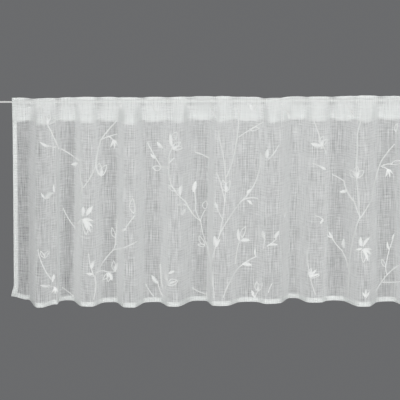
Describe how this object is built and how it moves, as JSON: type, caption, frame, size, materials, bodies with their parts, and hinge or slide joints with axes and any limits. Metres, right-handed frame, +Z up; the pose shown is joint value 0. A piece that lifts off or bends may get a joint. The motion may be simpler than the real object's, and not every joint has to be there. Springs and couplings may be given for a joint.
{
  "type": "cafe curtain on a thin rod",
  "caption": "Sheer white cafe curtain with a scattered twig embroidery, gathered in uneven folds on a thin white round rod run through its sewn heading.",
  "frame": {"origin": "on the rod's axis, halfway along the rod, at the point where the rod's hold is named", "axes": "+X runs along the rod to the right-hand end seen from the front; +Y runs level from the curtain's face to its back; +Z is up"},
  "size_m": [0.957, 0.0628, 0.452],
  "materials": {
    "sheer_cloth": "thin slubbed weave, see-through in one layer",
    "rod_enamel": "smooth white enamel"
  },
  "bodies": {
    "root": {"curtain_panel": "sheer_cloth", "rod": "rod_enamel"}
  },
  "joints": []
}
